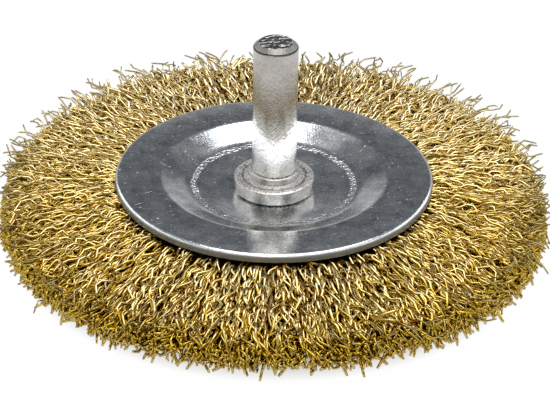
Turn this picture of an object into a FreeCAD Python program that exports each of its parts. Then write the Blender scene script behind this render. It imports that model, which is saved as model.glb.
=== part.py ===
import FreeCAD, Part
import math
import os
import random

from FreeCAD import Rotation, Vector

# Wire wheel brush for drills: crimped wires folded over a ring and clamped between
# two dished plates, with a plain shank riveted through the middle.
# All sizes are in millimetres. The brush lies on its rear plate's rim at z = 0,
# with the shank standing up along z.

# Brush face
BRUSH_DIAMETER = 75.0
RAGGED_TIPS = 1.6

# Plates
PLATE_DIAMETER = 43.0
WIDTH_OVER_RIMS = 9.4
SHEET = 0.8
LIP_HEIGHT = 1.12
DISH_RADIUS = 15.4
DISH_DEPTH = 2.2
FLOOR_RADIUS = 11.85
FLOOR_RISE = 0.7

# Shank, turned in one piece with its tenon, which is peened over at the rear
SHANK_DIAMETER = 6.0
OVERALL_HEIGHT = 29.1
END_CHAMFER_WIDE = 0.8
END_CHAMFER_HIGH = 0.6
TENON_DIAMETER = 4.4
HEAD_DIAMETER = 6.6
HEAD_HEIGHT = 1.1
HEAD_TOP_DIAMETER = 4.2

# Collar on the front plate
COLLAR_DIAMETER = 10.9
COLLAR_FLANGE_HEIGHT = 2.0
COLLAR_FLANGE_CHAMFER = 0.35
BOSS_DIAMETER = 7.0
BOSS_HEIGHT = 1.0
STAKE_ANGLES = (178, 194, 211, 339, 353)
STAKE_WIDTH = 0.5
STAKE_LENGTH = 0.9
STAKE_DEPTH = 0.25

# Bush between the plates
HUB_SPACER_DIAMETER = 9.5

# Ring that the wires are folded over
CORE_RING_INNER_RADIUS = 13.6
CORE_RING_WIDTH = 2.4
CORE_RING_THICKNESS = 2.0

# Wire fill
BUNDLES = 20
STRANDS_IN_LANE = (3, 2, 3)
CRIMPS = 3
CRIMP_DEPTH = 0.9
LANE_LEAN = 0.06
LANE_CLOSING = 0.3
STRAND_FILL = 0.82
STRAND_HEIGHT = 1.8
STRAND_ROOT_DEPTH = 0.3
STRAND_WANDER = 0.5
RIDGE_WANDER = 0.28
FOLD_THICKNESS = 1.35
FOLD_LEG_THICKNESS = 1.85
FOLD_FACETS = 4
FOLD_SPREAD_RADIUS = 17.0
PACK_BEYOND_PLATE = 0.75

# Clearances
TENON_GAP = 0.1
SEAT_MARGIN = 0.15
RING_GAP = 0.1
BUNDLE_GAP = 0.1
STRAND_GAP = 0.05

# Tolerances of the modelling itself
PARALLEL = 1e-9
SEWING = 0.0001

mid_height = WIDTH_OVER_RIMS / 2
plate_radius = PLATE_DIAMETER / 2
front_floor = WIDTH_OVER_RIMS - DISH_DEPTH
rear_floor = DISH_DEPTH
flange_top = front_floor + COLLAR_FLANGE_HEIGHT
boss_top = flange_top + BOSS_HEIGHT
tenon_radius = TENON_DIAMETER / 2
hole_radius = tenon_radius + TENON_GAP
shank_radius = SHANK_DIAMETER / 2
sector = 2 * math.pi / BUNDLES
lanes = len(STRANDS_IN_LANE)
pack_half = mid_height - LIP_HEIGHT
pack_face = plate_radius + PACK_BEYOND_PLATE


def turned(points):
    """Solid of revolution about z from (radius, height) points."""
    corners = [Vector(radius, 0, height) for radius, height in points]
    outline = Part.makePolygon(corners + corners[:1])
    return Part.Face(outline).revolve(Vector(0, 0, 0), Vector(0, 0, 1), 360)


def inner_line(points, thickness):
    """The same open line, moved to its right by the sheet's thickness."""
    normals = []
    for (r1, z1), (r2, z2) in zip(points, points[1:]):
        run = math.hypot(r2 - r1, z2 - z1)
        normals.append(((z2 - z1) / run, (r1 - r2) / run))
    moved = []
    for index, (r, z) in enumerate(points):
        before = normals[max(index - 1, 0)]
        after = normals[min(index, len(normals) - 1)]
        mitre = 1 + before[0] * after[0] + before[1] * after[1]
        shift_r = thickness * (before[0] + after[0]) / mitre
        shift_z = thickness * (before[1] + after[1]) / mitre
        moved.append((r + shift_r, z + shift_z))
    return moved


def pressed_plate():
    """Dished sheet disc, its floor rising from the collar's seat to the dish's slope."""
    seat_radius = COLLAR_DIAMETER / 2 + SEAT_MARGIN
    shown = [
        (hole_radius, mid_height - DISH_DEPTH),
        (seat_radius, mid_height - DISH_DEPTH),
        (FLOOR_RADIUS, mid_height - DISH_DEPTH + FLOOR_RISE),
        (DISH_RADIUS, mid_height),
        (plate_radius, mid_height),
        (plate_radius, mid_height - LIP_HEIGHT),
    ]
    return turned(shown + inner_line(shown, SHEET)[::-1])


def front_plate():
    plate = pressed_plate()
    plate.translate(Vector(0, 0, mid_height))
    return plate


def rear_plate():
    plate = pressed_plate().mirror(Vector(0, 0, 0), Vector(0, 0, 1))
    plate.translate(Vector(0, 0, mid_height))
    return plate


def shank():
    """Round bar with a chamfered end, a shoulder, a tenon and its peened head."""
    head_end = rear_floor - HEAD_HEIGHT
    return turned([
        (0, OVERALL_HEIGHT),
        (shank_radius - END_CHAMFER_WIDE, OVERALL_HEIGHT),
        (shank_radius, OVERALL_HEIGHT - END_CHAMFER_HIGH),
        (shank_radius, boss_top),
        (tenon_radius, boss_top),
        (tenon_radius, rear_floor),
        (HEAD_DIAMETER / 2, rear_floor),
        (HEAD_DIAMETER / 2, rear_floor - HEAD_HEIGHT / 2),
        (HEAD_TOP_DIAMETER / 2, head_end),
        (0, head_end),
    ])


def stake_mark(angle, radius, height):
    """Wedge that a staking punch presses into the flange beside the boss."""
    half = STAKE_WIDTH / 2
    corners = [
        Vector(radius, -half, height + STAKE_DEPTH),
        Vector(radius, half, height + STAKE_DEPTH),
        Vector(radius, 0, height - STAKE_DEPTH),
    ]
    wedge = Part.Face(Part.makePolygon(corners + corners[:1]))
    wedge = wedge.extrude(Vector(STAKE_LENGTH, 0, 0))
    wedge.rotate(Vector(0, 0, 0), Vector(0, 0, 1), angle)
    return wedge


def collar():
    """Stepped ring between the shank's shoulder and the plate, staked on its flange."""
    rim = COLLAR_DIAMETER / 2
    boss = BOSS_DIAMETER / 2
    ring = turned([
        (hole_radius, front_floor),
        (rim, front_floor),
        (rim, flange_top - COLLAR_FLANGE_CHAMFER),
        (rim - COLLAR_FLANGE_CHAMFER, flange_top),
        (boss, flange_top),
        (boss, boss_top),
        (hole_radius, boss_top),
    ])
    marks = [stake_mark(angle, boss, flange_top) for angle in STAKE_ANGLES]
    return ring.cut(marks)


def plain_ring(inner, outer, bottom, top):
    return turned([(inner, bottom), (outer, bottom), (outer, top), (inner, top)])


def hub_spacer():
    """Bush that keeps the two plates' floors apart."""
    radius = HUB_SPACER_DIAMETER / 2
    return plain_ring(hole_radius, radius, rear_floor + SHEET, front_floor - SHEET)


def core_ring():
    """Flat steel ring inside the fold of the wires."""
    inner = CORE_RING_INNER_RADIUS
    half = CORE_RING_THICKNESS / 2
    return plain_ring(inner, inner + CORE_RING_WIDTH, mid_height - half, mid_height + half)


def fold_section():
    """Half-round nose and two legs of the wires, closed round the core ring."""
    ring_in = CORE_RING_INNER_RADIUS * math.cos(sector / 2) - RING_GAP
    ring_out = CORE_RING_INNER_RADIUS + CORE_RING_WIDTH + RING_GAP
    ring_half = CORE_RING_THICKNESS / 2 + RING_GAP
    leg_half = ring_half + FOLD_LEG_THICKNESS
    nose_reach = FOLD_THICKNESS + CORE_RING_WIDTH / 2
    nose_centre = ring_in + CORE_RING_WIDTH / 2
    nose = []
    for step in range(FOLD_FACETS + 1):
        turn = math.pi / 2 + math.pi * step / FOLD_FACETS
        x = nose_centre + nose_reach * math.cos(turn)
        nose.append(Vector(x, 0, leg_half * math.sin(turn)))
    legs = [
        Vector(FOLD_SPREAD_RADIUS, 0, -pack_half),
        Vector(pack_face, 0, -pack_half),
        Vector(pack_face, 0, pack_half),
        Vector(FOLD_SPREAD_RADIUS, 0, pack_half),
    ]
    slot = [
        Vector(ring_in, 0, -ring_half),
        Vector(ring_out, 0, -ring_half),
        Vector(ring_out, 0, ring_half),
        Vector(ring_in, 0, ring_half),
    ]
    outline = nose + legs
    outer = Part.Face(Part.makePolygon(outline + outline[:1]))
    inner = Part.Face(Part.makePolygon(slot + slot[:1]))
    return outer.cut(inner)


def sector_wedge():
    """Space of one bundle, clear of its neighbours by half the bundle gap."""
    reach = BRUSH_DIAMETER
    half = sector / 2
    tip = BUNDLE_GAP / 2 / math.sin(half)
    corners = [
        Vector(tip, 0, -mid_height),
        Vector(tip + reach, -reach * math.tan(half), -mid_height),
        Vector(tip + reach, reach * math.tan(half), -mid_height),
    ]
    base = Part.Face(Part.makePolygon(corners + corners[:1]))
    return base.extrude(Vector(0, 0, WIDTH_OVER_RIMS))


def folded_pack():
    """Root of one bundle: the folded wires pressed solid between the plates."""
    half_width = pack_face * math.tan(sector / 2)
    section = fold_section()
    section.translate(Vector(0, -half_width, 0))
    block = section.extrude(Vector(0, 2 * half_width, 0))
    return block.common(sector_wedge())


def panel(first, second, third, fourth):
    """Face or faces through four corners, in two triangles where they twist."""
    if (second - first).cross(third - fourth).Length < PARALLEL:
        outlines = [[first, second, third, fourth, first]]
    else:
        outlines = [[first, second, third, first], [first, third, fourth, first]]
    return [Part.Face(Part.makePolygon(outline)) for outline in outlines]


def polyhedron(sections):
    """Closed solid through a row of like polygons in parallel planes."""
    first = sections[0]
    last = sections[-1]
    faces = [Part.Face(Part.makePolygon(first + first[:1]))]
    for lower, upper in zip(sections, sections[1:]):
        for side in range(len(lower)):
            after = (side + 1) % len(lower)
            faces += panel(lower[side], lower[after], upper[after], upper[side])
    faces.append(Part.Face(Part.makePolygon(last + last[:1])))
    solid = Part.Solid(Part.Shell(faces))
    solid.fix(SEWING, SEWING, SEWING)
    if solid.Volume < 0:
        solid.reverse()
    return solid


def lane_sway(radius, side):
    """Sideways place of a lane's crimped line: straight runs between equal crimps."""
    root = pack_face - STRAND_ROOT_DEPTH
    run = (BRUSH_DIAMETER / 2 - root) / CRIMPS
    step = min(int((radius - root) / run), CRIMPS - 1)
    part_way = (radius - root) / run - step
    before = 0 if step == 0 else side * (-1) ** step * CRIMP_DEPTH
    after = side * (-1) ** (step + 1) * CRIMP_DEPTH
    return side * LANE_LEAN * (radius - root) + before + (after - before) * part_way


def crimped_strand(angle, pitch_angle, lane_height, side, tip_radius, chance):
    """One crimped lock of wires, ridged outward, in step with the others of its lane."""
    root = pack_face - STRAND_ROOT_DEPTH
    sections = []
    for step in range(CRIMPS + 1):
        part_way = step / CRIMPS
        radius = min(root + (BRUSH_DIAMETER / 2 - root) * part_way, tip_radius)
        pitch = radius * pitch_angle
        width = STRAND_FILL * pitch
        room = (pitch - width) / 2 - STRAND_GAP
        sway = lane_sway(radius, side) + STRAND_WANDER * room * chance.uniform(-1.0, 1.0)
        closing = 1 - LANE_CLOSING * part_way
        half_height = closing * STRAND_HEIGHT / 2
        lane_play = closing * pack_half / lanes - half_height - STRAND_GAP
        centre_z = closing * lane_height + lane_play * chance.uniform(-1.0, 1.0)
        outward = math.copysign(half_height, lane_height)
        ridge = sway + RIDGE_WANDER * width * chance.uniform(-1.0, 1.0)
        sections.append([
            Vector(radius, sway - width / 2, centre_z - outward),
            Vector(radius, sway + width / 2, centre_z - outward),
            Vector(radius, ridge, centre_z + outward),
        ])
    strand = polyhedron(sections)
    strand.rotate(Vector(0, 0, 0), Vector(0, 0, 1), math.degrees(angle))
    return strand


def wire_bundle(number):
    """One bundle: the folded pack and its crimped strands, at its place round the axis."""
    chance = random.Random(100 + number)
    full = BRUSH_DIAMETER / 2
    lane_step = 2 * pack_half / lanes
    strands = []
    for lane, count in enumerate(STRANDS_IN_LANE):
        lane_height = -pack_half + lane_step * (lane + 0.5)
        middle = (count - 1) / 2
        for place in range(count):
            angle = (place - middle) * sector / count
            tip_radius = full - chance.uniform(0.1, 1.0) * RAGGED_TIPS
            if lane == 0 and place == middle:
                tip_radius = full
            strand = crimped_strand(angle, sector / count, lane_height, (-1) ** lane, tip_radius, chance)
            strands.append(strand)
    bundle = folded_pack().fuse(strands)
    bundle.translate(Vector(0, 0, mid_height))
    bundle.rotate(Vector(0, 0, 0), Vector(0, 0, 1), number * 360 / BUNDLES)
    return bundle


def save(shape, name):
    if len(shape.Solids) == 1:
        shape = shape.Solids[0]
    shape.exportStep(f"parts/{name}.step")


os.makedirs("parts", exist_ok=True)
save(shank(), "shank")
save(collar(), "collar")
save(front_plate(), "front_plate")
save(rear_plate(), "rear_plate")
save(hub_spacer(), "hub_spacer")
save(core_ring(), "core_ring")
for number in range(BUNDLES):
    save(wire_bundle(number), f"wire_bundle_{number + 1:02d}")
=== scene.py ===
import math
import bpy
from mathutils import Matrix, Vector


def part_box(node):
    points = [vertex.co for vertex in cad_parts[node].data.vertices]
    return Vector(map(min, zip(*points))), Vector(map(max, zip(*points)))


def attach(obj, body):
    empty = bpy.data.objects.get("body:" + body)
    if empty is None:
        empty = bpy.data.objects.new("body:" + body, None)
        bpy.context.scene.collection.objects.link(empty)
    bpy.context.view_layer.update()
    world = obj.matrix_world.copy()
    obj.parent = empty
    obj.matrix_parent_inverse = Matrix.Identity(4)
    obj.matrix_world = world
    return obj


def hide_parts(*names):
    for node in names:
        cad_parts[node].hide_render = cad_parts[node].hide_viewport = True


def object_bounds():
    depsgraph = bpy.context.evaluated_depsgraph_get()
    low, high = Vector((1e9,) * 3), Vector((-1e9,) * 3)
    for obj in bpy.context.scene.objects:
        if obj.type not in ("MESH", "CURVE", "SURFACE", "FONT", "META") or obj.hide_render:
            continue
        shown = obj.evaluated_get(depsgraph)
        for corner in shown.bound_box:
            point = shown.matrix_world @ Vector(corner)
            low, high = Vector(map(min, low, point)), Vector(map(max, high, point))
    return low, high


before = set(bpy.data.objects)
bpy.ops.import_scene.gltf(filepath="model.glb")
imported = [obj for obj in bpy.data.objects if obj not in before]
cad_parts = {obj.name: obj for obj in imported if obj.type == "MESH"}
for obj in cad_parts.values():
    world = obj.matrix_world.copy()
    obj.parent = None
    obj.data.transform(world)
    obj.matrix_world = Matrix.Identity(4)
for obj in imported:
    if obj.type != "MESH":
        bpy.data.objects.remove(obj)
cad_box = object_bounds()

from types import SimpleNamespace

import bpy
import numpy as np
from mathutils import Matrix, Vector

# Wire wheel brush: crimped brass-coated wires between two zinc-plated dished plates,
# on a satin steel shank. Lengths below are in metres, written as millimetres times MM.
MM = 0.001

# Places and sizes taken from the frame
front_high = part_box("front_plate")[1]
rear_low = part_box("rear_plate")[0]
shank_low, shank_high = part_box("shank")
collar_low, collar_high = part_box("collar")
rim_radius = front_high[0]
rim_top = front_high[2]
mid_height = (front_high[2] + rear_low[2]) / 2
brush_radius = min(cad_box[1][0], cad_box[1][1])
floor_top = collar_low[2]
dish_depth = rim_top - floor_top

# Plates
SHEET = 0.8 * MM
LIP_HEIGHT = 1.12 * MM
DISH_RADIUS = 15.4 * MM
FLOOR_RADIUS = 11.85 * MM
FLOOR_RISE = 0.7 * MM
SEAT_MARGIN = 0.15 * MM
HOLE_RADIUS = 2.3 * MM
KNURL_INNER = 10.3 * MM
KNURL_OUTER = 11.35 * MM
GREY_WALL = (0.20 * MM, 0.03 * MM)
SHEARED_WALL = (0.25 * MM, 0.03 * MM)

# Shank and collar
SHANK_RADIUS = 3.0 * MM
TENON_RADIUS = 2.2 * MM
END_CHAMFER_WIDE = 0.8 * MM
END_CHAMFER_HIGH = 0.6 * MM
COLLAR_RADIUS = 5.45 * MM
BOSS_RADIUS = 3.5 * MM
BOSS_HEIGHT = 1.0 * MM
STAKE_ANGLES = (178, 194, 211, 339, 353)
STAKE_HALF_ANGLE = 2.4
STAKE_DEPTH = 0.03 * MM
STAKE_REACH = (3.45 * MM, 4.75 * MM)
FLANGE_STEPS = 9
FLANGE_STEP = 0.15 * MM
FLANGE_START = 0.03 * MM
GROOVE_STEP = 5
GROOVE_DEPTH = 0.08 * MM
HEAD_RADIUS = 3.3 * MM
HEAD_TOP_RADIUS = 2.1 * MM

# Painted reflection bands on the shank and its specks, as (from, to) heights over which each band comes or
# goes
BRIGHT_BELOW = (11.6 * MM, 13.2 * MM)
BRIGHT_ABOVE = (14.8 * MM, 15.8 * MM)
DARK_BAND_BELOW = (14.8 * MM, 16.2 * MM)
DARK_BAND_ABOVE = (21 * MM, 25 * MM)
SPECKS_FADE = (16 * MM, 24 * MM)
RELIEF_FADES = (15.0 * MM, 20.0 * MM)
BAND_SAG = 3.6 * MM

# Wires
WIRES_PER_BUNDLE = 232
WIRE_SIDES = 4
WIRE_RADIUS = 0.20 * MM
STRAY_RADIUS = 0.11 * MM
STRAY_SHARE = 0.13
WIRE_ROOT = 19.6 * MM
PACK_RADIUS = 19.8 * MM
ROOT_HALF_HEIGHT = 3.3 * MM
LAYER_CROWDING = 0.55
KNEES = 9
KNEE_BEND = 0.3
CRIMP_DEPTH = 0.72 * MM
TIP_SHARE = 0.2
TIP_TAPER = 0.75
TIP_ROUNDING = 1.6 * MM
TIP_FALL = 0.75
TIP_RISE = 0.9 * MM
LIP_CLEARANCE = 0.22 * MM
WIRES_PER_CLUMP = 6
BULGE = 0.8 * MM
BULGE_START = 1.9 * MM
BULGE_RUN = 1.2 * MM
BULGE_END = 7 * MM
TIP_LOWEST = 2.7 * MM
TIP_HIGHEST = 3.3 * MM
TIP_SCATTER = 0.75 * MM
TIP_RAGGED = 0.5 * MM
TIP_INSET = 0.2 * MM
STRAY_REACH = (-1.5 * MM, 1.4 * MM)
STRAY_LIFT = (0.3 * MM, 4.8 * MM)
SIDE_MARGIN = 0.7 * MM
CLUMP_DRIFT = 1.0 * MM
WIRE_DRIFT = 1.2 * MM
WANDER_ASIDE = 0.7 * MM
WANDER_UP = 0.4 * MM
WANDER_LENGTH = (11 * MM, 24 * MM)
FREE_LENGTH = 18 * MM
PAST_RIM = 0.5 * MM
FLOOR_CLEARANCE = 0.4 * MM
# Span of y over which the wires' coat takes painted light toward the back
PAINTED_BACK_LIGHT_SPAN = (-8 * MM, 24 * MM)

# Fold of the wires round the core ring
FOLD_SPREAD_RADIUS = 17.0 * MM
FOLD_SHOULDER_RADIUS = 14.0 * MM
FOLD_SHOULDER_HEIGHT = 2.9 * MM
FOLD_NOSE_RADIUS = 12.1 * MM

groove_radius = BOSS_RADIUS + FLANGE_START + FLANGE_STEP * GROOVE_STEP

# Camera, fitted to the edges of the front plate, collar and shank
VIEW_DISTANCE = 300 * MM
VIEW_ELEVATION = math.radians(29.4)
VIEW_ROLL = math.radians(0.9)
FOCAL_PIXELS = 2215
IMAGE_WIDTH = 550
AIM_SIDE = 0.2 * MM
AIM_BELOW_RIM = 5.2 * MM


def new_piece(name, points, faces, material):
    """Mesh object that rides on the body and takes its finish from a slot."""
    mesh = bpy.data.meshes.new(name)
    mesh.from_pydata(points, [], faces)
    mesh.polygons.foreach_set("use_smooth", [True] * len(mesh.polygons))
    mesh.materials.append(material)
    piece = bpy.data.objects.new(name, mesh)
    bpy.context.scene.collection.objects.link(piece)
    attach(piece, "root")
    return piece


def rounded(corners, steps=5):
    """Outline through (radius, height, fillet) corners, with an arc at each fillet."""
    outline = []
    count = len(corners)
    for index, (r, z, fillet) in enumerate(corners):
        if fillet == 0 or index in (0, count - 1):
            outline.append((r, z))
            continue
        here = Vector((r, z))
        back = Vector(corners[index - 1][:2]) - here
        ahead = Vector(corners[index + 1][:2]) - here
        half = back.angle(ahead) / 2
        reach = min(fillet / math.tan(half), back.length * 0.49, ahead.length * 0.49)
        radius = reach * math.tan(half)
        middle = (back.normalized() + ahead.normalized()).normalized()
        centre = here + middle * (radius / math.sin(half))
        start = here + back.normalized() * reach - centre
        end = here + ahead.normalized() * reach - centre
        sweep = start.angle_signed(end)
        for step in range(steps + 1):
            turned = start.copy()
            turned.rotate(Matrix.Rotation(-sweep * step / steps, 2))
            outline.append(tuple(centre + turned))
    return outline


def lathe(outline, segments):
    """Points and faces of an open or closed outline turned about the axis."""
    points = []
    faces = []
    for r, z in outline:
        for segment in range(segments):
            turn = 2 * math.pi * segment / segments
            points.append((r * math.cos(turn), r * math.sin(turn), z))
    for ring in range(len(outline) - 1):
        for segment in range(segments):
            after = (segment + 1) % segments
            low = ring * segments
            high = low + segments
            faces.append((low + segment, low + after, high + after, high + segment))
    return np.array(points), faces


# Node materials


def material_with(name):
    """Material with its node tree and its principled shader."""
    material = bpy.data.materials.new(name)
    material.use_nodes = True
    tree = material.node_tree
    return material, tree, tree.nodes["Principled BSDF"]


def place(tree):
    """Object coordinates, in metres."""
    return tree.nodes.new("ShaderNodeTexCoord").outputs["Object"]


def stretched(tree, source, size, turn=(0, 0, 0)):
    """Coordinates turned, then counted in features of the given size."""
    node = tree.nodes.new("ShaderNodeMapping")
    node.vector_type = "TEXTURE"
    node.inputs["Scale"].default_value = size
    node.inputs["Rotation"].default_value = turn
    tree.links.new(source, node.inputs["Vector"])
    return node.outputs["Vector"]


def parts_of(tree, source):
    """The x, y and z of a vector socket."""
    node = tree.nodes.new("ShaderNodeSeparateXYZ")
    tree.links.new(source, node.inputs["Vector"])
    return node.outputs["X"], node.outputs["Y"], node.outputs["Z"]


def unrolled(tree, source, radius):
    """Coordinates on a round bar laid flat: length round it, and height."""
    x, y, z = parts_of(tree, source)
    turn = maths(tree, "ARCTAN2", x, maths(tree, "MULTIPLY", y, -1.0))
    round_it = maths(tree, "MULTIPLY", turn, radius)
    node = tree.nodes.new("ShaderNodeCombineXYZ")
    tree.links.new(round_it, node.inputs["X"])
    tree.links.new(z, node.inputs["Z"])
    return node.outputs["Vector"]


def from_axis(tree, source):
    """Distance from the wheel's axis."""
    x, y, z = parts_of(tree, source)
    squares = maths(tree, "ADD", maths(tree, "MULTIPLY", x, x), maths(tree, "MULTIPLY", y, y))
    return maths(tree, "SQRT", squares, 0.0)


def noise(tree, source, scale, detail=2.0, roughness=0.5):
    node = tree.nodes.new("ShaderNodeTexNoise")
    node.inputs["Scale"].default_value = scale
    node.inputs["Detail"].default_value = detail
    node.inputs["Roughness"].default_value = roughness
    tree.links.new(source, node.inputs["Vector"])
    return node.outputs["Fac"]


def ramp(tree, source, stops):
    """Colour ramp from (place, colour) stops."""
    node = tree.nodes.new("ShaderNodeValToRGB")
    elements = node.color_ramp.elements
    while len(elements) < len(stops):
        elements.new(0.5)
    for element, (where, colour) in zip(elements, stops):
        element.position = where
        element.color = (*colour, 1)
    tree.links.new(source, node.inputs["Fac"])
    return node.outputs["Color"]


def spread(tree, source, low, high, from_low=0.0, from_high=1.0):
    """Value moved from one range into another."""
    node = tree.nodes.new("ShaderNodeMapRange")
    node.inputs["From Min"].default_value = from_low
    node.inputs["From Max"].default_value = from_high
    node.inputs["To Min"].default_value = low
    node.inputs["To Max"].default_value = high
    tree.links.new(source, node.inputs["Value"])
    return node.outputs["Result"]


def maths(tree, operation, first, second):
    node = tree.nodes.new("ShaderNodeMath")
    node.operation = operation
    for socket, value in zip(node.inputs, (first, second)):
        if isinstance(value, (int, float)):
            socket.default_value = value
        else:
            tree.links.new(value, socket)
    return node.outputs["Value"]


def mixed(tree, factor, first, second, blend="MIX"):
    """Mix of two colours, each a socket or an (r, g, b) value."""
    node = tree.nodes.new("ShaderNodeMix")
    node.data_type = "RGBA"
    node.blend_type = blend
    sockets = node.inputs[0], node.inputs[6], node.inputs[7]
    for socket, value in zip(sockets, (factor, first, second)):
        if isinstance(value, tuple):
            socket.default_value = (*value, 1)
        elif isinstance(value, (int, float)):
            socket.default_value = value
        else:
            tree.links.new(value, socket)
    return node.outputs[2]


def bump(tree, shader, height, distance, strength=1.0):
    node = tree.nodes.new("ShaderNodeBump")
    node.inputs["Distance"].default_value = distance
    node.inputs["Strength"].default_value = strength
    tree.links.new(height, node.inputs["Height"])
    tree.links.new(node.outputs["Normal"], shader.inputs["Normal"])


def attribute(tree, name):
    node = tree.nodes.new("ShaderNodeAttribute")
    node.attribute_name = name
    return node.outputs["Fac"]


def brassed_wire():
    """Drawn wire with a thin brass coat, with painted light toward the back, bare steel where it strays.

    The coat also takes painted highlights where it faces up at a slant and a painted floor reflection where
    it faces sideways and down.
    """
    material, tree, shader = material_with("brassed_wire")
    link = tree.links.new
    coat = ramp(tree, attribute(tree, "tone"), [
        (0.0, (0.285, 0.168, 0.002)),
        (0.4, (0.405, 0.264, 0.004)),
        (0.75, (0.54, 0.372, 0.014)),
        (1.0, (0.72, 0.54, 0.06)),
    ])
    upright = parts_of(tree, tree.nodes.new("ShaderNodeNewGeometry").outputs["Normal"])[2]
    # Painted light: the coat is paler toward the back of the wheel, and its painted highlights are stronger
    # there
    painted_back_light = spread(tree, parts_of(tree, place(tree))[1], 0.0, 1.0, *PAINTED_BACK_LIGHT_SPAN)
    coat = mixed(tree, maths(tree, "MULTIPLY", painted_back_light, 0.5), coat, (0.95, 0.81, 0.40))
    # Painted highlight: the coat is paled where its surface faces up at a slant
    rising = spread(tree, upright, 0.0, 0.95, 0.72, 0.85)
    lit = maths(tree, "MULTIPLY", rising, spread(tree, upright, 1.0, 0.3, 0.93, 0.99))
    lit = maths(tree, "MULTIPLY", lit, spread(tree, painted_back_light, 0.6, 1.0))
    coat = mixed(tree, lit, coat, (0.96, 0.89, 0.68))
    # Painted reflection of the floor: the coat is paled where it faces sideways and down
    coat = mixed(tree, spread(tree, upright, 0.6, 0.0, -0.2, 0.35), coat, (0.90, 0.75, 0.52))
    worn = noise(tree, place(tree), 900, 3)
    coat = mixed(tree, spread(tree, worn, 0.0, 0.5, 0.5, 0.75), coat, (0.44, 0.28, 0.03))
    # Painted shade: wires in the middle of the pack take a saturated brown coat
    coat = mixed(tree, attribute(tree, "painted_deep_shade"), coat, (0.565, 0.39, 0.012))
    # Darker tips: partly the cut ends' own colour, partly painted shade
    coat = mixed(tree, attribute(tree, "cut_end_shade"), coat, (0.26, 0.17, 0.02))
    colour = mixed(tree, attribute(tree, "bare"), coat, (0.10, 0.092, 0.05))
    link(colour, shader.inputs["Base Color"])
    shader.inputs["Metallic"].default_value = 1.0
    shader.inputs["Coat Weight"].default_value = 0.3
    shader.inputs["Coat Roughness"].default_value = 0.12
    shader.inputs["Specular Tint"].default_value = (0.85, 0.66, 0.30, 1)
    link(spread(tree, worn, 0.11, 0.22), shader.inputs["Roughness"])
    bump(tree, shader, noise(tree, place(tree), 6000, 1), 0.01 * MM, 0.5)
    return material


def pressed_wires():
    """The wires' roots, pressed together between the plates, coloured near black as painted shade."""
    material, tree, shader = material_with("pressed_wires")
    strands = noise(tree, place(tree), 2600, 2)
    # Painted shade: the roots are coloured far darker than the brass coat
    colour = ramp(tree, strands, [(0.35, (0.03, 0.015, 0.001)), (0.75, (0.30, 0.17, 0.02))])
    tree.links.new(colour, shader.inputs["Base Color"])
    shader.inputs["Metallic"].default_value = 1.0
    tree.links.new(spread(tree, strands, 0.35, 0.6), shader.inputs["Roughness"])
    bump(tree, shader, strands, 0.15 * MM)
    return material


def zinced_sheet():
    """Bright zinc on sheet steel: finely speckled, hazed in small patches, knurled in one ring."""
    material, tree, shader = material_with("zinced_sheet")
    link = tree.links.new
    spot = place(tree)
    speckle = noise(tree, spot, 3800, 2, 0.6)
    cloud = noise(tree, spot, 420, 4, 0.6)
    haze = spread(tree, noise(tree, spot, 1000, 5, 0.68), 0, 1, 0.53, 0.72)
    long_grain = stretched(tree, spot, (3.2 * MM, 0.12 * MM, 1 * MM), (0, 0, 0.6))
    cross_grain = stretched(tree, spot, (0.12 * MM, 2.6 * MM, 1 * MM), (0, 0, 0.9))
    long_marks = noise(tree, long_grain, 1.0, 1)
    cross_marks = noise(tree, cross_grain, 1.0, 1)
    scratches = maths(tree, "MAXIMUM", spread(tree, long_marks, 0, 1, 0.78, 0.83),
                      spread(tree, cross_marks, 0, 1, 0.78, 0.83))
    colour = ramp(tree, cloud, [
        (0.32, (0.42, 0.45, 0.48)),
        (0.50, (0.65, 0.68, 0.70)),
        (0.68, (0.89, 0.91, 0.92)),
    ])
    colour = mixed(tree, maths(tree, "MULTIPLY", haze, 0.35), colour, (0.78, 0.79, 0.80))
    colour = mixed(tree, spread(tree, speckle, 0, 0.45, 0.52, 0.66), colour, (0.90, 0.91, 0.91))
    colour = mixed(tree, spread(tree, speckle, 0.35, 0, 0.34, 0.48), colour, (0.22, 0.235, 0.25))
    dots = spread(tree, noise(tree, spot, 2200, 1), 0, 0.9, 0.74, 0.76)
    bright = maths(tree, "MAXIMUM", dots, maths(tree, "MULTIPLY", scratches, 0.3))
    colour = mixed(tree, bright, colour, (0.9, 0.9, 0.9))
    wall_from, wall_to = (rim_radius - depth for depth in GREY_WALL)
    wall = spread(tree, from_axis(tree, spot), 0, 0.92, wall_from, wall_to)
    colour = mixed(tree, wall, colour, (0.16, 0.16, 0.155))
    link(colour, shader.inputs["Base Color"])
    speckled = spread(tree, speckle, 0.0, 0.08, 0.45, 0.7)
    rough = maths(tree, "ADD", spread(tree, haze, 0.08, 0.18), speckled)
    sheared_from, sheared_to = (rim_radius - depth for depth in SHEARED_WALL)
    sheared = spread(tree, from_axis(tree, spot), 0, 0.3, sheared_from, sheared_to)
    link(spread(tree, sheared, 1.0, 0.4, 0, 0.3), shader.inputs["Metallic"])
    link(maths(tree, "ADD", rough, sheared), shader.inputs["Roughness"])
    distance = maths(tree, "ADD", from_axis(tree, spot), spread(tree, cloud, -0.25 * MM, 0.25 * MM))
    inside = spread(tree, distance, 0, 1, KNURL_INNER, KNURL_INNER + 0.2 * MM)
    outside = spread(tree, distance, 1, 0, KNURL_OUTER - 0.15 * MM, KNURL_OUTER)
    grain = maths(tree, "SUBTRACT", noise(tree, spot, 3000, 1, 0.6), 0.5)
    knurl = maths(tree, "MULTIPLY", maths(tree, "MULTIPLY", inside, outside), grain)
    relief = maths(tree, "MULTIPLY", speckle, 0.10)
    relief = maths(tree, "ADD", relief, maths(tree, "MULTIPLY", knurl, 1.2))
    relief = maths(tree, "SUBTRACT", relief, maths(tree, "MULTIPLY", scratches, 0.05))
    relief = maths(tree, "ADD", relief, maths(tree, "MULTIPLY", dots, 0.12))
    bump(tree, shader, relief, 0.22 * MM, 0.8)
    return material


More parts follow.
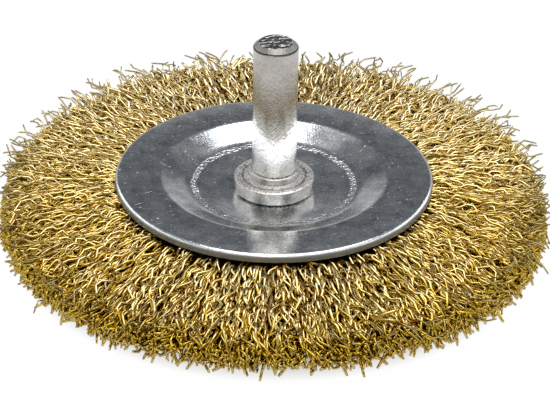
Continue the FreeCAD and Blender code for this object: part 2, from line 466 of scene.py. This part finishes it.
def scratched_steel(name, dark, light, rough_low, rough_high, grain, radius=None):
    """Cloudy, pitted steel with fine slanting scratches both ways, as parts to add wear, painted light and
    painted shade to.
    """
    material, tree, shader = material_with(name)
    spot = place(tree)
    flat = spot if radius is None else unrolled(tree, spot, radius)
    cloud = noise(tree, spot, 420, 4, 0.6)
    rising = noise(tree, stretched(tree, flat, grain, (0, 0.62, 0)), 1.0, 3, 0.6)
    falling = noise(tree, stretched(tree, flat, grain, (0, -0.75, 0)), 1.0, 3, 0.6)
    pits = spread(tree, noise(tree, spot, 2400, 1), 0, 1, 0.70, 0.74)
    pit_colour = tuple(0.25 * value for value in dark)
    colour = ramp(tree, cloud, [(0.3, dark), (0.7, light)])
    colour = mixed(tree, maths(tree, "MULTIPLY", pits, 0.6), colour, pit_colour)
    relief = maths(tree, "MULTIPLY", rising, 0.22)
    relief = maths(tree, "ADD", relief, maths(tree, "MULTIPLY", falling, 0.22))
    relief = maths(tree, "SUBTRACT", relief, maths(tree, "MULTIPLY", pits, 0.05))
    return SimpleNamespace(
        material=material, tree=tree, shader=shader, spot=spot, cloud=cloud, rising=rising, falling=falling,
        colour=colour, relief=relief, rough=spread(tree, rising, rough_low, rough_high, 0.3, 0.7))


def finished(steel):
    """The steel's material, with its colour, roughness and relief joined to its shader."""
    link = steel.tree.links.new
    link(steel.colour, steel.shader.inputs["Base Color"])
    steel.shader.inputs["Metallic"].default_value = 0.85
    link(steel.rough, steel.shader.inputs["Roughness"])
    bump(steel.tree, steel.shader, steel.relief, 0.12 * MM, 0.8)
    return steel.material


def collar_steel():
    """Turned steel, with a painted highlight on its level tops and painted shade in the flange's groove."""
    grain = (0.35 * MM, 0.35 * MM, 0.35 * MM)
    steel = scratched_steel("collar_steel", (0.24, 0.235, 0.22), (0.48, 0.46, 0.44), 0.14, 0.34, grain)
    tree = steel.tree
    upright = parts_of(tree, tree.nodes.new("ShaderNodeNewGeometry").outputs["Normal"])[2]
    # Painted highlight on the level tops, keyed to surfaces that face up
    painted_top_highlight = spread(tree, upright, 0, 1, 0.75, 0.97)
    painted_top_highlight = maths(tree, "MULTIPLY", painted_top_highlight, spread(tree, steel.falling, 0.25, 1.0, 0.38, 0.55))
    bright = maths(tree, "MULTIPLY", painted_top_highlight, 0.8)
    steel.colour = mixed(tree, bright, steel.colour, (0.93, 0.92, 0.90))
    # Painted shade: a dark ring over the flange's groove
    off_groove = maths(tree, "SUBTRACT", from_axis(tree, steel.spot), groove_radius)
    uneven = spread(tree, steel.rising, -0.15 * MM, 0.15 * MM, 0.3, 0.7)
    off_groove = maths(tree, "ABSOLUTE", maths(tree, "ADD", off_groove, uneven), 0.0)
    groove = spread(tree, off_groove, 0.8, 0, 0.06 * MM, 0.20 * MM)
    steel.colour = mixed(tree, groove, steel.colour, (0.10, 0.10, 0.095))
    steel.rough = maths(tree, "ADD", steel.rough, maths(tree, "MULTIPLY", painted_top_highlight, 0.12))
    return finished(steel)


def painted_reflections_and_specks(steel, height):
    """Painted reflection: a bright band low on the bar and a darker band over it that sags at the sides; and
    specks.
    """
    tree = steel.tree
    aside = maths(tree, "DIVIDE", parts_of(tree, steel.spot)[0], SHANK_RADIUS)
    sag = maths(tree, "MULTIPLY", maths(tree, "MULTIPLY", aside, aside), -BAND_SAG)
    band_height = maths(tree, "ADD", height, spread(tree, steel.rising, -0.9 * MM, 0.9 * MM, 0.3, 0.7))
    swept = maths(tree, "ADD", band_height, sag)
    # Painted reflection: a bright band low on the bar, its edge sagging at the sides
    bright = maths(tree, "MULTIPLY", spread(tree, swept, 0.8, 0, *BRIGHT_ABOVE),
                   spread(tree, band_height, 0.15, 1, *BRIGHT_BELOW))
    steel.colour = mixed(tree, bright, steel.colour, (0.93, 0.92, 0.905))
    # Painted reflection: a darker band above the bright one
    darkened = maths(tree, "MULTIPLY", spread(tree, swept, 0, 0.4, *DARK_BAND_BELOW),
                 spread(tree, band_height, 1, 0, *DARK_BAND_ABOVE))
    steel.colour = mixed(tree, darkened, steel.colour, (0.27, 0.255, 0.23))
    specks = maths(tree, "MAXIMUM", spread(tree, steel.rising, 0, 0.6, 0.56, 0.68),
                   spread(tree, steel.falling, 0, 0.6, 0.56, 0.68))
    specks = maths(tree, "MULTIPLY", specks, spread(tree, height, 1, 0.6, *SPECKS_FADE))
    steel.colour = mixed(tree, specks, steel.colour, (0.20, 0.19, 0.175))
    depth = spread(tree, swept, 2.4, 1.3, *RELIEF_FADES)
    steel.relief = maths(tree, "MULTIPLY", steel.relief, depth)


def sheared_end(steel, height, sheared_from):
    """Torn, ridged end with painted glints and shade on it, a darker, rougher turned chamfer and painted
    shade in the groove below it.
    """
    tree = steel.tree
    on_end = spread(tree, height, 0, 1, sheared_from, sheared_from + 0.08 * MM)
    torn_grain = stretched(tree, steel.spot, (1.1 * MM, 0.38 * MM, 1 * MM), (0, 0, 0.35))
    torn = spread(tree, noise(tree, torn_grain, 1.0, 2, 0.6), 0, 0.9, 0.53, 0.64)
    # Painted glints and shade: the end is coloured dark with near-white strokes along its torn relief
    painted_ridge_glints = mixed(tree, spread(tree, torn, 0, 1, 0.2, 0.7), (0.10, 0.10, 0.098), (0.95, 0.95, 0.94))
    steel.colour = mixed(tree, maths(tree, "MULTIPLY", on_end, 0.9), steel.colour, painted_ridge_glints)
    steel.relief = maths(tree, "MULTIPLY", steel.relief, spread(tree, on_end, 1, 0.05))
    steel.relief = maths(tree, "ADD", steel.relief, maths(tree, "MULTIPLY", on_end, torn))
    groove = sheared_from - END_CHAMFER_HIGH
    turned = spread(tree, height, 0, 1, groove, sheared_from - 0.4 * MM)
    turned = maths(tree, "MULTIPLY", turned, spread(tree, on_end, 1, 0))
    darkened = maths(tree, "MULTIPLY", turned, 0.75)
    steel.colour = mixed(tree, darkened, steel.colour, (0.12, 0.12, 0.115))
    turned = maths(tree, "MULTIPLY", turned, spread(tree, on_end, 0.2, 0.02))
    steel.rough = maths(tree, "ADD", steel.rough, turned)
    # Painted shade: a near-black ring in the groove under the chamfer
    uneven = spread(tree, steel.cloud, -0.05 * MM, 0.05 * MM, 0.3, 0.7)
    wobble = maths(tree, "ADD", height, uneven)
    above = spread(tree, wobble, 0, 1, groove - 0.12 * MM, groove - 0.04 * MM)
    below = spread(tree, wobble, 1, 0, groove + 0.10 * MM, groove + 0.18 * MM)
    painted_groove_shade = maths(tree, "MULTIPLY", maths(tree, "MULTIPLY", above, below), 0.93)
    steel.colour = mixed(tree, painted_groove_shade, steel.colour, (0.02, 0.02, 0.018))


def shank_steel():
    """Satin bar with painted reflection bands, specks and its sheared end."""
    grain = (0.9 * MM, 1 * MM, 0.26 * MM)
    steel = scratched_steel("shank_steel", (0.42, 0.405, 0.38), (0.56, 0.54, 0.51), 0.07, 0.26,
                            grain, SHANK_RADIUS)
    height = parts_of(steel.tree, steel.spot)[2]
    painted_reflections_and_specks(steel, height)
    sheared_end(steel, height, shank_high[2] - 0.1 * MM)
    return finished(steel)


# Pieces


def plate_outline():
    """The pressing's section about the rim's plane, with its bends rounded."""
    floor = -dish_depth
    lip = -LIP_HEIGHT
    inner_rim = rim_radius - SHEET
    seat = COLLAR_RADIUS + SEAT_MARGIN
    return rounded([
        (HOLE_RADIUS, floor, 0),
        (seat, floor, 0.5 * MM),
        (FLOOR_RADIUS, floor + FLOOR_RISE, 3.5 * MM),
        (DISH_RADIUS, 0, 1.6 * MM),
        (rim_radius, 0, 0.85 * MM),
        (rim_radius, lip, 0.12 * MM),
        (inner_rim, lip, 0.15 * MM),
        (inner_rim, -SHEET, 0.2 * MM),
        (DISH_RADIUS + 0.16 * MM, -SHEET, 1.5 * MM),
        (FLOOR_RADIUS + 0.12 * MM, floor + FLOOR_RISE - SHEET, 0.8 * MM),
        (seat, floor - SHEET, 0.8 * MM),
        (HOLE_RADIUS, floor - SHEET, 0),
        (HOLE_RADIUS, floor, 0),
    ])


def plate(name, node, rim_height, facing, material):
    points, faces = lathe(plate_outline(), 320)
    points[:, 2] = rim_height + facing * points[:, 2]
    if facing > 0:
        faces = [face[::-1] for face in faces]
    piece = new_piece(name, points.tolist(), faces, material)
    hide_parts(node)


def shank_bar(material):
    """Round bar with a softened chamfer, its tenon and the peened head."""
    end = shank_high[2]
    shoulder = collar_high[2]
    head_seat = rear_low[2] + dish_depth
    head_end = shank_low[2]
    outline = rounded([
        (0.001 * MM, end, 0),
        (SHANK_RADIUS - END_CHAMFER_WIDE, end, 0.15 * MM),
        (SHANK_RADIUS - 0.12 * MM, end - END_CHAMFER_HIGH + 0.06 * MM, 0.08 * MM),
        (SHANK_RADIUS - 0.14 * MM, end - END_CHAMFER_HIGH - 0.10 * MM, 0),
        (SHANK_RADIUS, end - END_CHAMFER_HIGH - 0.12 * MM, 0.05 * MM),
        (SHANK_RADIUS, shoulder, 0.15 * MM),
        (TENON_RADIUS, shoulder, 0),
        (TENON_RADIUS, head_seat, 0),
        (HEAD_RADIUS, head_seat, 0.1 * MM),
        (HEAD_RADIUS, head_seat - (head_seat - head_end) / 2, 0.4 * MM),
        (HEAD_TOP_RADIUS, head_end, 0.6 * MM),
        (0.001 * MM, head_end, 0),
    ])
    points, faces = lathe(outline, 128)
    piece = new_piece("shank_bar", points.tolist(), faces, material)
    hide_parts("shank")


def stepped_collar(material):
    """Collar with its boss, and its flange with a groove and staking marks."""
    seat = collar_low[2]
    top = collar_high[2]
    flange = top - BOSS_HEIGHT
    tops = []
    for step in range(FLANGE_STEPS):
        depth = GROOVE_DEPTH * max(0, 1 - abs(step - GROOVE_STEP) / 2)
        tops.append((BOSS_RADIUS + FLANGE_START + FLANGE_STEP * step, flange - depth, 0))
    outline = rounded([
        (HOLE_RADIUS, seat, 0),
        (COLLAR_RADIUS - 0.3 * MM, seat, 0),
        (COLLAR_RADIUS - 0.02 * MM, seat + 0.24 * MM, 0.05 * MM),
        (COLLAR_RADIUS, flange - 0.12 * MM, 0.15 * MM),
        (COLLAR_RADIUS - 0.35 * MM, flange - 0.02 * MM, 0.05 * MM),
        *tops[::-1],
        (BOSS_RADIUS, flange + 0.04 * MM, 0),
        (BOSS_RADIUS, top, 0.2 * MM),
        (HOLE_RADIUS, top, 0),
        (HOLE_RADIUS, seat, 0),
    ])
    points, faces = lathe(outline, 512)
    radius = np.hypot(points[:, 0], points[:, 1])
    turn = np.degrees(np.arctan2(points[:, 1], points[:, 0])) % 360
    on_top = np.abs(points[:, 2] - flange) < 0.09 * MM
    on_top &= (radius > STAKE_REACH[0]) & (radius < STAKE_REACH[1])
    for angle in STAKE_ANGLES:
        off = np.abs((turn - angle + 180) % 360 - 180)
        near = on_top & (off < STAKE_HALF_ANGLE)
        points[near, 2] -= STAKE_DEPTH * (1 - off[near] / STAKE_HALF_ANGLE)
    piece = new_piece("stepped_collar", points.tolist(), faces, material)
    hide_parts("collar")


def wire_pack(material):
    """Pressed roots of the wires, folded round the core ring."""
    half = ROOT_HALF_HEIGHT
    outline = rounded([
        (PACK_RADIUS, mid_height - half, 0),
        (PACK_RADIUS, mid_height + half, 0),
        (FOLD_SPREAD_RADIUS, mid_height + half, 0.5 * MM),
        (FOLD_SHOULDER_RADIUS, mid_height + FOLD_SHOULDER_HEIGHT, 2.5 * MM),
        (FOLD_NOSE_RADIUS, mid_height, 2.5 * MM),
        (FOLD_SHOULDER_RADIUS, mid_height - FOLD_SHOULDER_HEIGHT, 2.5 * MM),
        (FOLD_SPREAD_RADIUS, mid_height - half, 0.5 * MM),
        (PACK_RADIUS, mid_height - half, 0),
    ])
    points, faces = lathe(outline, 128)
    new_piece("wire_pack", points.tolist(), faces, material)


def bent(knots):
    """Values along each wire: straight between its knots, with every inner knot rounded off."""
    before, knee, after = knots[:, :-2], knots[:, 1:-1], knots[:, 2:]
    into = knee + KNEE_BEND * (before - knee)
    out = knee + KNEE_BEND * (after - knee)
    corners = np.stack([into, out], axis=2).reshape(len(knots), -1)
    tip = knots[:, -1:]
    before_tip = tip + TIP_SHARE * (knots[:, -2:-1] - tip)
    return np.concatenate([knots[:, :1], corners, before_tip, tip], axis=1)


def crimps(chance, depth):
    """Places along each wire from root to tip, and its crimps sideways and upward there."""
    gaps = chance.uniform(0.6, 1.4, (len(depth), KNEES + 1))
    knots = np.cumsum(np.concatenate([np.zeros_like(depth), gaps], axis=1), axis=1)
    knots /= knots[:, -1:]
    wave = (-1.0) ** np.arange(KNEES + 2) * depth * chance.uniform(0.3, 1.6, knots.shape)
    wave = wave * (knots > 0) * (0.8 + 0.5 * knots)
    curl = 0.3 * depth * chance.normal(0, 1, knots.shape) * (knots > 0)
    plane = chance.uniform(0, 2 * np.pi, depth.shape) + chance.normal(0, 0.3, knots.shape)
    sideways = wave * np.cos(plane) - curl * np.sin(plane)
    upward = wave * np.sin(plane) + curl * np.cos(plane)
    return bent(knots), bent(sideways), bent(upward)


def between_plates(radius, height):
    """Heights from the middle, kept inside the wheel and clear of the plates' lips on the way out."""
    under_lip = mid_height - LIP_HEIGHT - LIP_CLEARANCE
    room = np.where(radius < rim_radius + PAST_RIM, under_lip, mid_height)
    height = np.clip(height, -np.minimum(room, mid_height - FLOOR_CLEARANCE), room)
    edge = rim_radius + WIRE_RADIUS
    inner, outer = radius[:, :-1], radius[:, 1:]
    crossing = (inner < edge) & (outer > edge)
    share = np.where(crossing, (edge - inner) / (outer - inner), 1)
    passing = height[:, :-1] + share * (height[:, 1:] - height[:, :-1])
    excess = passing - np.clip(passing, -under_lip, under_lip)
    height[:, 1:] -= np.where(crossing, excess / share, 0)
    return height


def wire_lines(chance, centre_turn, sector):
    """Centre lines of one bundle's crimped wires, their places from root to tip, and which stray."""
    count = WIRES_PER_BUNDLE
    column = (count, 1)
    slots = (np.arange(count) + chance.random(count)) / count - 0.5
    turn = (centre_turn + sector * slots)[:, None]
    clump = np.arange(count) // WIRES_PER_CLUMP
    clump_drift = chance.normal(0, CLUMP_DRIFT, clump.max() + 1)[clump][:, None]
    layer = chance.uniform(-1, 1, column)
    root_height = np.sign(layer) * np.abs(layer) ** LAYER_CROWDING * ROOT_HALF_HEIGHT

    # Tips: drooping at the front, lifted at the back, ragged all round
    droop = (1 - np.sin(turn)) / 2
    tip_height = root_height * (0.62 - 0.2 * droop) + chance.normal(0, TIP_SCATTER, column)
    tip_height = np.clip(tip_height + TIP_RISE * (1 - droop), -TIP_LOWEST, TIP_HIGHEST)
    side_limit = brush_radius / np.maximum(np.abs(np.cos(turn)), np.abs(np.sin(turn)))
    ragged = np.abs(chance.normal(0, TIP_RAGGED, column))
    rounding = (np.maximum(tip_height, 0) / (2.6 * MM)) ** 2
    rounding *= TIP_ROUNDING * (0.2 + 0.8 * droop)
    tip_radius = brush_radius - TIP_INSET - ragged - rounding
    stray = chance.random(column) < STRAY_SHARE
    tip_radius = np.where(stray, brush_radius + chance.uniform(*STRAY_REACH, column), tip_radius)
    tip_radius = np.minimum(tip_radius, side_limit - SIDE_MARGIN)

    # Crimps, and a drift and a slow wander that grow from root to tip
    depth_share = np.where(stray, chance.uniform(0.7, 1.2, column), chance.uniform(0.5, 1.5, column))
    along, sideways, upward = crimps(chance, CRIMP_DEPTH * depth_share)
    run = along * (tip_radius - WIRE_ROOT)
    radius = WIRE_ROOT + run
    grown = (run / FREE_LENGTH) ** 1.3
    sideways = sideways + (clump_drift + chance.normal(0, WIRE_DRIFT, column)) * grown
    wander = 2 * np.pi * run / chance.uniform(*WANDER_LENGTH, column) + chance.uniform(0, 6.3, column)
    sideways = sideways + WANDER_ASIDE * grown * np.sin(wander)
    upward = upward + WANDER_UP * grown * np.cos(wander)

    # Stray wires lift, the others fall toward their tips and bulge beside the plates
    lifted = chance.uniform(*STRAY_LIFT, column) * np.clip(grown, 0, 1) ** 1.6 * (1 - 0.5 * droop)
    upward = upward + np.where(stray, lifted, 0)
    fall = TIP_FALL * droop * chance.uniform(0, 1, column) * (tip_height + TIP_LOWEST)
    upward = upward - np.where(stray, 0, fall) * np.clip((along - 0.7) / 0.3, 0, 1) ** 1.3
    risen = BULGE * chance.uniform(0, 1, column) * np.clip((run - BULGE_START) / BULGE_RUN, 0, 1)
    risen *= np.clip(1.4 - run / BULGE_END, 0, 1)
    upward = upward + risen * (root_height / ROOT_HALF_HEIGHT) ** 3

    height = root_height + (tip_height - root_height) * along + upward
    height = mid_height + between_plates(radius, height)
    x = radius * np.cos(turn) - sideways * np.sin(turn)
    y = radius * np.sin(turn) + sideways * np.cos(turn)
    lines = np.stack([x, y, height], axis=2)
    inside = brush_radius - 1.5 * WIRE_RADIUS
    lines[:, :, :2] = np.clip(lines[:, :, :2], -inside, inside)
    return lines, along, stray


def wire_mesh(lines, thickness):
    """Thin tubes of the given radii round the centre lines, closed at their tips."""
    ahead = np.gradient(lines, axis=1)
    ahead /= np.linalg.norm(ahead, axis=2, keepdims=True)
    up = np.array([0.0, 0.0, 1.0])
    first = up - ahead * (ahead @ up)[..., None]
    first /= np.linalg.norm(first, axis=2, keepdims=True)
    second = np.cross(ahead, first)
    corners = []
    for side in range(WIRE_SIDES):
        turn = 2 * math.pi * (side + 0.5) / WIRE_SIDES
        corners.append(lines + thickness * (math.cos(turn) * first + math.sin(turn) * second))
    points = np.stack(corners, axis=2).reshape(-1, 3)
    rings = lines.shape[1]
    faces = []
    for wire in range(lines.shape[0]):
        base = wire * rings * WIRE_SIDES
        for ring in range(rings - 1):
            low = base + ring * WIRE_SIDES
            for side in range(WIRE_SIDES):
                after = (side + 1) % WIRE_SIDES
                high = low + WIRE_SIDES
                faces.append((low + side, low + after, high + after, high + side))
        last = base + (rings - 1) * WIRE_SIDES
        faces.append(tuple(last + side for side in range(WIRE_SIDES)))
    return points, faces


def paint(piece, name, values):
    layer = piece.data.attributes.new(name, "FLOAT", "POINT")
    layer.data.foreach_set("value", values.astype(np.float32).ravel())


def wire_bundle(number, bundles, material):
    """All the single wires of one bundle, with their tone, where they are bare, and their painted shade in
    the middle of the pack and near their tips.
    """
    chance = np.random.default_rng(500 + number)
    sector = 2 * math.pi / bundles
    lines, along, stray = wire_lines(chance, number * sector, sector)
    thickness = np.where(stray, STRAY_RADIUS, WIRE_RADIUS)
    thickness = thickness * np.where(along > 0.999, TIP_TAPER, 1.0)
    points, faces = wire_mesh(lines, thickness[:, :, None])
    name = f"crimped_wires_{number + 1:02d}"
    piece = new_piece(name, points.tolist(), faces, material)
    wires, rings = lines.shape[:2]
    tone = np.repeat(chance.beta(2.0, 1.8, wires), rings * WIRE_SIDES)
    from_tip = np.linalg.norm(lines - lines[:, -1:, :], axis=2) / MM
    greyed = np.where(stray, 0.6, 0.35 * chance.uniform(0, 1, (wires, 1)) ** 6)
    bare = greyed * np.clip(1.3 - from_tip / 4, 0, 1)
    # Painted shade, strongest for wires in the middle of the pack and fading toward its top and bottom
    off_middle = np.abs(lines[:, :, 2] - mid_height) / (ROOT_HALF_HEIGHT * (1.0 - 0.3 * along))
    painted_deep_shade = 0.75 * np.clip(1.1 - off_middle, 0, 1)
    # Darker tips: partly the cut ends' own colour, partly painted shade
    cut_end_shade = 0.25 * np.clip(1.5 - from_tip / 0.5, 0, 1)
    paint(piece, "tone", tone)
    paint(piece, "cut_end_shade", np.repeat(cut_end_shade[:, :, None], WIRE_SIDES, axis=2))
    paint(piece, "bare", np.repeat(np.clip(bare, 0, 1)[:, :, None], WIRE_SIDES, axis=2))
    paint(piece, "painted_deep_shade", np.repeat(painted_deep_shade[:, :, None], WIRE_SIDES, axis=2))
    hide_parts(f"wire_bundle_{number + 1:02d}")


# Studio


def studio_floor():
    """White floor that keeps the wheel's shadow near it and shows plain white farther out."""
    mesh = bpy.data.meshes.new("floor")
    reach = 3.0
    level = -0.02 * MM
    corners = [(-reach, -reach, level), (reach, -reach, level), (reach, reach, level), (-reach, reach, level)]
    mesh.from_pydata(corners, [], [(0, 1, 2, 3)])
    material, tree, shader = material_with("studio_white")
    shader.inputs["Base Color"].default_value = (0.65, 0.65, 0.65, 1)
    shader.inputs["Roughness"].default_value = 0.9
    shader.inputs["Specular IOR Level"].default_value = 0.0
    light_path = tree.nodes.new("ShaderNodeLightPath")
    seen = maths(tree, "MAXIMUM", light_path.outputs["Is Camera Ray"], light_path.outputs["Is Glossy Ray"])
    seen = maths(tree, "MAXIMUM", seen, light_path.outputs["Is Transmission Ray"])
    white = tree.nodes.new("ShaderNodeEmission")
    white.inputs["Strength"].default_value = 1.0
    blend = tree.nodes.new("ShaderNodeMixShader")
    around = spread(tree, from_axis(tree, place(tree)), 0, 0.99, 28 * MM, 36 * MM)
    tree.links.new(maths(tree, "MULTIPLY", seen, around), blend.inputs["Fac"])
    tree.links.new(shader.outputs["BSDF"], blend.inputs[1])
    tree.links.new(white.outputs["Emission"], blend.inputs[2])
    tree.links.new(blend.outputs["Shader"], tree.nodes["Material Output"].inputs["Surface"])
    mesh.materials.append(material)
    floor = bpy.data.objects.new("floor", mesh)
    bpy.context.scene.collection.objects.link(floor)


def studio_world():
    """Walls that camera and metal see, pale low down; dim even fill for all else."""
    world = bpy.data.worlds.new("studio")
    bpy.context.scene.world = world
    world.use_nodes = True
    tree = world.node_tree
    background = tree.nodes["Background"]
    direction = tree.nodes.new("ShaderNodeTexCoord").outputs["Generated"]
    side, depth, height = parts_of(tree, direction)
    behind = ramp(tree, height, [
        (0.00, (0.95, 0.94, 0.93)),
        (0.10, (0.50, 0.50, 0.50)),
        (0.30, (0.38, 0.38, 0.385)),
        (0.46, (0.12, 0.125, 0.135)),
        (0.68, (0.23, 0.235, 0.245)),
        (0.85, (0.42, 0.42, 0.42)),
    ])
    ahead = ramp(tree, height, [
        (0.00, (0.55, 0.54, 0.53)),
        (0.20, (0.35, 0.34, 0.33)),
        (0.50, (0.45, 0.44, 0.43)),
        (0.66, (0.90, 0.89, 0.87)),
    ])
    walls = mixed(tree, spread(tree, depth, 1, 0, -0.45, -0.05), behind, ahead)
    light_path = tree.nodes.new("ShaderNodeLightPath")
    seen = maths(tree, "MAXIMUM", light_path.outputs["Is Camera Ray"], light_path.outputs["Is Glossy Ray"])
    seen = maths(tree, "MAXIMUM", seen, light_path.outputs["Is Transmission Ray"])
    colour = mixed(tree, seen, (0.15, 0.15, 0.155), walls)
    tree.links.new(colour, background.inputs["Color"])


def softbox(name, centre, size, tilt, radiance, colour=(1, 1, 1)):
    """Rectangular lamp of the given radiance; untilted it faces straight down."""
    lamp = bpy.data.lights.new(name, "AREA")
    lamp.shape = "RECTANGLE"
    lamp.size, lamp.size_y = size
    lamp.energy = radiance * math.pi * size[0] * size[1]
    lamp.color = colour
    holder = bpy.data.objects.new(name, lamp)
    holder.location = centre
    holder.rotation_euler = [math.radians(angle) for angle in tilt]
    bpy.context.scene.collection.objects.link(holder)


def studio_camera():
    camera = bpy.data.cameras.new("camera")
    camera.sensor_width = 36
    camera.lens = camera.sensor_width * FOCAL_PIXELS / IMAGE_WIDTH
    camera.clip_start = 0.01
    holder = bpy.data.objects.new("camera", camera)
    centre = Vector((0, 0, rim_top))
    back_to_camera = Vector((0, -math.cos(VIEW_ELEVATION), math.sin(VIEW_ELEVATION)))
    holder.location = centre + VIEW_DISTANCE * back_to_camera
    aim = Vector((AIM_SIDE, 0, rim_top - AIM_BELOW_RIM)) - holder.location
    turned = aim.to_track_quat("-Z", "Y").to_matrix() @ Matrix.Rotation(VIEW_ROLL, 3, "Z")
    holder.rotation_euler = turned.to_euler()
    bpy.context.scene.collection.objects.link(holder)
    bpy.context.scene.camera = holder


studio_camera()
studio_floor()
studio_world()
softbox("softbox_top", (0.025, -0.07, 0.55), (0.50, 0.40), (0, 0, 0), 3.3)
softbox("softbox_back", (0.09, 0.22, 0.55), (0.36, 0.18), (0, 0, 0), 3.0)
softbox("softbox_haze", (-0.17, 0.22, 0.55), (0.14, 0.18), (0, 0, 0), 0.25)
softbox("softbox_front", (0.0, -0.47, 0.44), (0.50, 0.22), (45, 0, 0), 2.2, (1.0, 0.98, 0.95))
softbox("softbox_left", (-0.60, 0.20, 0.36), (0.50, 1.20), (0, -60, 0), 1.4)
softbox("softbox_right", (0.60, 0.20, 0.36), (0.50, 1.20), (0, 60, 0), 1.5)

wire_metal = brassed_wire()
sheet_metal = zinced_sheet()
collar_metal = collar_steel()

plate("front_pressing", "front_plate", rim_top, 1, sheet_metal)
plate("rear_pressing", "rear_plate", rear_low[2], -1, sheet_metal)
shank_bar(shank_steel())
stepped_collar(collar_metal)
wire_pack(pressed_wires())
for hidden in ("hub_spacer", "core_ring"):
    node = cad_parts[hidden]
    node.data.materials.clear()
    node.data.materials.append(collar_metal)

bundle_nodes = [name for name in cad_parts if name.startswith("wire_bundle_")]
for number in range(len(bundle_nodes)):
    wire_bundle(number, len(bundle_nodes), wire_metal)

scene = bpy.context.scene
scene.view_settings.view_transform = "Standard"
